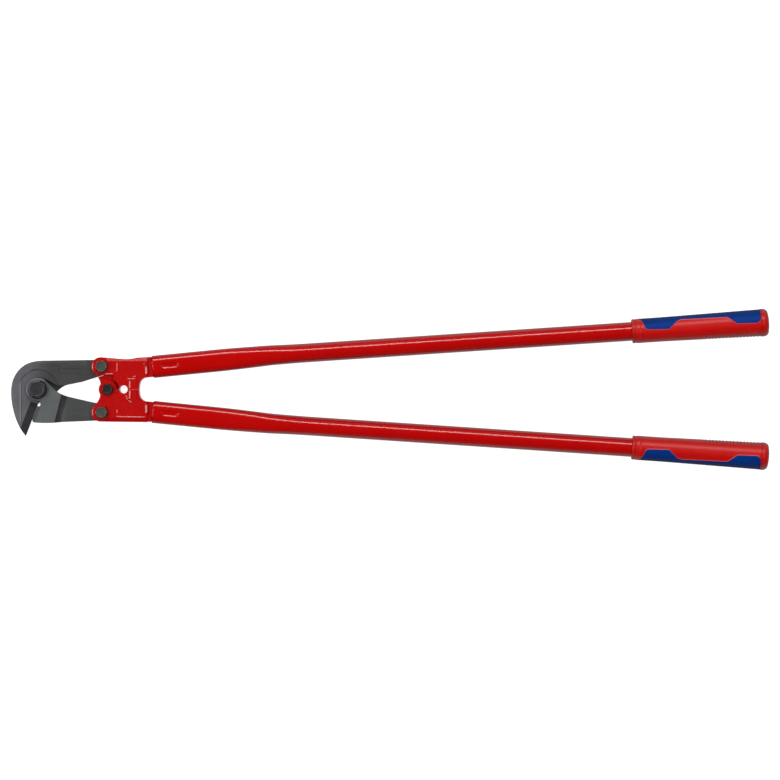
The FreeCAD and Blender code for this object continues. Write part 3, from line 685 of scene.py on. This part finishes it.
# Grips: a sleeve with a recess and a raised lip, and the soft inlay in the recess.
gripSetup = {"startX": 303.0, "length": 171.8, "rim": 15.2, "front": 15.75, "wide": 17.49, "bore": 11.95,
             "endRadius": 8.5, "endLength": 9.0, "endPower": 2.6,
             "window": [(10.0, 16.6), (15.3, 6.3), (16.0, 4.3), (17.0, 2.6), (18.5, 1.4), (20.5, 0.8),
                        (46.0, -0.3), (56.8, 9.1), (61.8, 10.6), (119.7, 9.6), (131.6, 0.8),
                        (155.0, 0.1), (157.6, 0.6), (159.4, 1.8), (160.8, 3.9), (161.6, 6.6)],
             "lipHeight": 0.4, "lipWidth": 0.9, "lipBand": 0.8, "seam": 0.3, "seamWidth": 0.7,
             "inlayDepth": 2.0, "inlayThickness": 1.8, "bodySink": 0.46, "ribGroove": 0.3,
             "ribFrom": 92.0, "ribTo": 157.5, "ribSpread": 42.0}


# The grip's radius at a distance along it: the collar, its groove, the body and the rounded end.
def gripRadius(setup, s):
    length = setup["length"]
    table = [(0.0, setup["rim"] - 1.4), (0.4, setup["rim"] - 0.4), (1.4, setup["rim"]), (3.4, setup["rim"]),
             (4.0, setup["rim"] - 0.5), (4.8, setup["rim"] - 0.5), (5.4, setup["front"]),
             (36.0, setup["front"]), (length - setup["endLength"], setup["wide"])]
    for (a, ra), (b, rb) in zip(table, table[1:]):
        if s <= b:
            sink = setup["bodySink"] * smooth((length - 6.5 - s) / 2.0) * smooth((s - 5.0) / 0.4)
            return ra + (rb - ra) * (s - a) / (b - a) - sink
    # The rounded end, a quarter of a superellipse from the widest place to the flat end.
    part = (s - (length - setup["endLength"])) / setup["endLength"]
    power = setup["endPower"]
    return setup["endRadius"] + (setup["wide"] - setup["endRadius"]) * (1 - part ** power) ** (1 / power)


# How far out from the grip's axis the recess begins, at a distance along the grip.
def windowEdge(setup, s):
    points = setup["window"]
    s = min(max(s, points[0][0]), points[-1][0])
    for (a, ya), (b, yb) in zip(points, points[1:]):
        if s <= b:
            return ya + (yb - ya) * (s - a) / (b - a)
    return points[-1][1]


def gripPlace(setup, side):
    y, slope = tubeCentre(tubeSetup, setup["startX"])
    spin = Matrix.Rotation(math.radians(slope * side), 4, "Z")
    if side < 0:
        spin = spin @ Matrix.Rotation(math.pi, 4, "X")
    return Matrix.Translation((setup["startX"] * mm, side * y * mm, tubeSetup["middle"] * mm)) @ spin


# A point from the distance along the grip, the radius, and the angle from the outer side.
def onGrip(place, s, radius, angle):
    return place @ Vector((s * mm, radius * math.cos(angle) * mm, radius * math.sin(angle) * mm))


# The distances along the grip that have a ring of points, closest at the collar and the recess's corners.
def gripStations(setup):
    marks = {0.0, 0.15, 0.4, 0.8, 1.4, 3.4, 3.7, 4.0, 4.8, 5.1, 5.4, 7.0, 8.8, 9.4}
    marks |= {10.0 + 0.75 * k for k in range(14)} | {20.5 + 2.0 * k for k in range(13)}
    marks |= {46.0 + 1.0 * k for k in range(16)} | {62.0 + 2.0 * k for k in range(30)}
    marks |= {120.0 + 0.75 * k for k in range(16)} | {132.0 + 1.5 * k for k in range(13)}
    marks |= {151.5 + 0.5 * k for k in range(21)} | {161.6, 162.2, 162.8}
    length = setup["length"]
    marks |= {length - setup["endLength"] * math.cos(math.pi / 2 * k / 14) for k in range(15)}
    return sorted(mark for mark in marks if mark <= length)


# Half the angle that the recess takes round the grip.
def edgeAngle(setup, s):
    first, last = setup["window"][0][0], setup["window"][-1][0]
    return math.acos(min(windowEdge(setup, s) / gripRadius(setup, min(max(s, first), last)), 0.98))


def lipRise(setup, distance):
    return setup["lipHeight"] * max(0.0, 1 - (distance / setup["lipWidth"]) ** 2)


# The sleeve is sunk under its ribs.
def ribSink(setup, s, angle):
    off = math.degrees(abs(angle - math.pi))
    along = min(s - setup["ribFrom"] + 3, setup["ribTo"] + 3 - s)
    return setup["ribGroove"] * smooth(along / 2.5) * smooth((setup["ribSpread"] + 4 - off) / 8)


# One row of the sleeve's skin, from the recess's upper edge round the back to its lower edge.
def sleeveRow(setup, place, s):
    first, last = setup["window"][0][0], setup["window"][-1][0]
    start = edgeAngle(setup, s)
    radius = gripRadius(setup, s)
    front = [start + offset / radius for offset in (0.0, 0.25, 0.5, 0.75, 1.0, 1.5, 2.5)]
    steps = 60
    back = [front[-1] + (math.tau - 2 * front[-1]) * k / steps for k in range(1, steps)]
    row = []
    for angle in front + back + [math.tau - angle for angle in reversed(front)]:
        distance = min(angle - start, math.tau - start - angle) * radius if first < s < last else 0.0
        raised = lipRise(setup, distance) if first <= s <= last else 0.0
        row.append(onGrip(place, s, radius + raised - ribSink(setup, s, angle), angle))
    return row


# Gives the faces next to the recess the lip's finish.
def markLip(bm, setup, place):
    first, last = setup["window"][0][0], setup["window"][-1][0]
    for face in bm.faces:
        spots = [place.inverted() @ corner.co / mm for corner in face.verts]
        along = sum(spot.x for spot in spots) / 4
        if first - 0.4 < along < last + 0.4:
            reach = sum(math.hypot(spot.y, spot.z) for spot in spots) / 4
            turned = abs(math.atan2(sum(spot.z for spot in spots), sum(spot.y for spot in spots)))
            away = (turned - edgeAngle(setup, min(max(along, first), last))) * reach
            face.material_index = 1 if away < setup["lipBand"] else 0


def buildSleeve(setup, side, name, source, body):
    place = gripPlace(setup, side)
    stations = gripStations(setup)
    length = setup["length"]
    first, last = setup["window"][0][0], setup["window"][-1][0]
    bm = bmesh.new()
    addShell(bm, [sleeveRow(setup, place, s) for s in stations])
    markLip(bm, setup, place)
    # The skin before and behind the recess, on the outer side.
    for low, high, edge in ((0.0, first, first), (last, length, last)):
        caps = []
        for s in (station for station in stations if low <= station <= high):
            radius = gripRadius(setup, s) + lipRise(setup, abs(s - edge))
            caps.append([onGrip(place, s, radius, edgeAngle(setup, s) * (1 - k / 12)) for k in range(25)])
        addShell(bm, caps)
    # The recess's walls, down from the lip.
    inside = [s for s in stations if first <= s <= last]
    loop = [(s, edgeAngle(setup, s)) for s in inside]
    loop += [(last, edgeAngle(setup, last) * (1 - k / 12)) for k in range(1, 24)]
    loop += [(s, -edgeAngle(setup, s)) for s in reversed(inside)]
    loop += [(first, -edgeAngle(setup, first) * (1 - k / 12)) for k in range(1, 25)]
    addShell(bm, [[onGrip(place, s, gripRadius(setup, s) - drop, angle) for s, angle in loop]
                  for drop in (-setup["lipHeight"], 0.6, setup["inlayDepth"])])
    turns = [math.tau * k / 72 for k in range(73)]
    bore = setup["bore"]
    mouth = [(bore, 6.0), (bore, 0.5), (bore + 0.5, 0.0), (gripRadius(setup, 0.0), 0.0)]
    cap = [(setup["endRadius"], length), (7.6, length), (7.0, length - 0.4), (0.0, length - 0.4)]
    for profile in (mouth, cap):
        addShell(bm, [[onGrip(place, s, radius, turn) for turn in turns] for radius, s in profile])
    weld(bm, 3e-6)
    settle(bm, name, [finishes["gripRed"], finishes["gripLip"]], source, body, 40.0)


# The soft inlay fills the recess, a little low along its edges.
def buildInlay(setup, side, name, source, body):
    place = gripPlace(setup, side)
    first, last = setup["window"][0][0], setup["window"][-1][0]
    between = [s for s in gripStations(setup) if first + 0.5 < s < last - 0.5]
    stations = [first + 0.05, first + 0.35] + between + [last - 0.35, last - 0.05]
    offsets = [0.0, 0.3, 0.8]
    rows = []
    for s in stations:
        radius = gripRadius(setup, s) - (0.35 if s in (stations[0], stations[-1]) else 0.0)
        span = edgeAngle(setup, s) * radius - 0.05
        across = [-span + offset for offset in offsets]
        across += [(-span + 1.6) + 2 * (span - 1.6) * k / 34 for k in range(35)]
        across += [span - offset for offset in reversed(offsets)]
        row = []
        for arc in across:
            near = min(arc + span, span - arc)
            sunk = setup["seam"] * max(0.0, 1 - near / setup["seamWidth"]) ** 2
            row.append(onGrip(place, s, radius - sunk, arc / radius))
        for arc in (across[-1], across[0]):
            row.append(onGrip(place, s, radius - setup["inlayThickness"], arc / radius))
        rows.append(row)
    bm = bmesh.new()
    addShell(bm, rows, closeRound=True)
    for row in (rows[0], rows[-1]):
        bm.faces.new([bm.verts.new(point) for point in row])
    weld(bm, 1e-6)
    settle(bm, name, [finishes["inlayBlue"]], source, body, 40.0)


for side, name in ((1, "upper"), (-1, "lower")):
    buildSleeve(gripSetup, side, name + "Grip", name + "_grip", name + "_handle")
    buildInlay(gripSetup, side, name + "GripInlay", name + "_grip_inlay", name + "_handle")


# Ribs on the inner side of each grip: one moulded rib repeated along the taper.
ribSetup = {"Count": 16, "From": gripSetup["ribFrom"] * mm, "To": gripSetup["ribTo"] * mm,
            "Start Radius": 15.95 * mm, "End Radius": 16.9 * mm,
            "Spread": math.radians(gripSetup["ribSpread"]), "Thickness": 0.55 * mm, "Seed": 3}


def buildRibTree():
    tree = bpy.data.node_groups.new("mouldedRibs", "GeometryNodeTree")
    tree.interface.new_socket("Geometry", in_out="INPUT", socket_type="NodeSocketGeometry")
    for label in ribSetup:
        kind = "NodeSocketInt" if label in ("Count", "Seed") else "NodeSocketFloat"
        tree.interface.new_socket(label, in_out="INPUT", socket_type=kind)
    tree.interface.new_socket("Finish", in_out="INPUT", socket_type="NodeSocketMaterial")
    tree.interface.new_socket("Geometry", in_out="OUTPUT", socket_type="NodeSocketGeometry")
    entry = tree.nodes.new("NodeGroupInput").outputs
    leave = tree.nodes.new("NodeGroupOutput")

    def maths(operation, first, second):
        return node(tree, "ShaderNodeMath", {0: first, 1: second}, operation=operation).outputs[0]

    # The row of places.
    start = node(tree, "ShaderNodeCombineXYZ", {"X": entry["From"]}).outputs[0]
    end = node(tree, "ShaderNodeCombineXYZ", {"X": entry["To"]}).outputs[0]
    line = node(tree, "GeometryNodeMeshLine", {"Count": entry["Count"], "Start Location": start,
                "Offset": end}, mode="END_POINTS", count_mode="TOTAL").outputs[0]
    # One rib: a round wire bent along an arc, set upright.
    opening = maths("SUBTRACT", math.pi, entry["Spread"])
    reach = maths("MULTIPLY", entry["Spread"], 2.0)
    arc = node(tree, "GeometryNodeCurveArc", {"Resolution": 40, "Radius": entry["Start Radius"],
               "Start Angle": opening, "Sweep Angle": reach}, mode="RADIUS").outputs[0]
    wire = node(tree, "GeometryNodeCurvePrimitiveCircle", {"Resolution": 10, "Radius": entry["Thickness"]},
                mode="RADIUS").outputs[0]
    rib = node(tree, "GeometryNodeCurveToMesh", {"Curve": arc, "Profile Curve": wire,
               "Fill Caps": True}).outputs[0]
    upright = node(tree, "GeometryNodeTransform", {"Geometry": rib,
                   "Rotation": (math.pi / 2, 0, math.pi / 2)}).outputs[0]
    # The ribs grow with the taper and differ a little.
    index = node(tree, "GeometryNodeInputIndex").outputs[0]
    final = maths("SUBTRACT", entry["Count"], 1.0)
    ratio = maths("DIVIDE", entry["End Radius"], entry["Start Radius"])
    grow = ranged(tree, index, 0.0, final, 1.0, ratio)
    wobble = node(tree, "FunctionNodeRandomValue", {2: 0.997, 3: 1.003, "Seed": entry["Seed"]},
                  data_type="FLOAT").outputs[1]
    size = maths("MULTIPLY", grow, wobble)
    scale = node(tree, "ShaderNodeCombineXYZ", {"X": 1.0, "Y": size, "Z": size}).outputs[0]
    placed = node(tree, "GeometryNodeInstanceOnPoints", {"Points": line, "Instance": upright,
                  "Scale": scale}).outputs[0]
    real = node(tree, "GeometryNodeRealizeInstances", {"Geometry": placed}).outputs[0]
    finished = node(tree, "GeometryNodeSetMaterial", {"Geometry": real,
                    "Material": entry["Finish"]}).outputs[0]
    tree.links.new(finished, leave.inputs[0])
    return tree


def growRibs(tree, side, name, body):
    seedMesh = bpy.data.meshes.new(name + "Seed")
    carrier = bpy.data.objects.new(name + "Carrier", seedMesh)
    collection.objects.link(carrier)
    modifier = carrier.modifiers.new("ribs", "NODES")
    modifier.node_group = tree
    values = dict(ribSetup, Finish=finishes["gripRed"])
    for item in tree.interface.items_tree:
        if item.in_out == "INPUT" and item.name in values:
            modifier[item.identifier] = values[item.name]
    depsgraph = bpy.context.evaluated_depsgraph_get()
    mesh = bpy.data.meshes.new_from_object(carrier.evaluated_get(depsgraph))
    bpy.data.objects.remove(carrier)
    mesh.name = name
    mesh.transform(gripPlace(gripSetup, side))
    for face in mesh.polygons:
        face.use_smooth = True
    piece = bpy.data.objects.new(name, mesh)
    collection.objects.link(piece)
    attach(piece, body)


ribTree = buildRibTree()
for side, name in ((1, "upper"), (-1, "lower")):
    growRibs(ribTree, side, name + "GripRibs", name + "_handle")
print("grips ready")
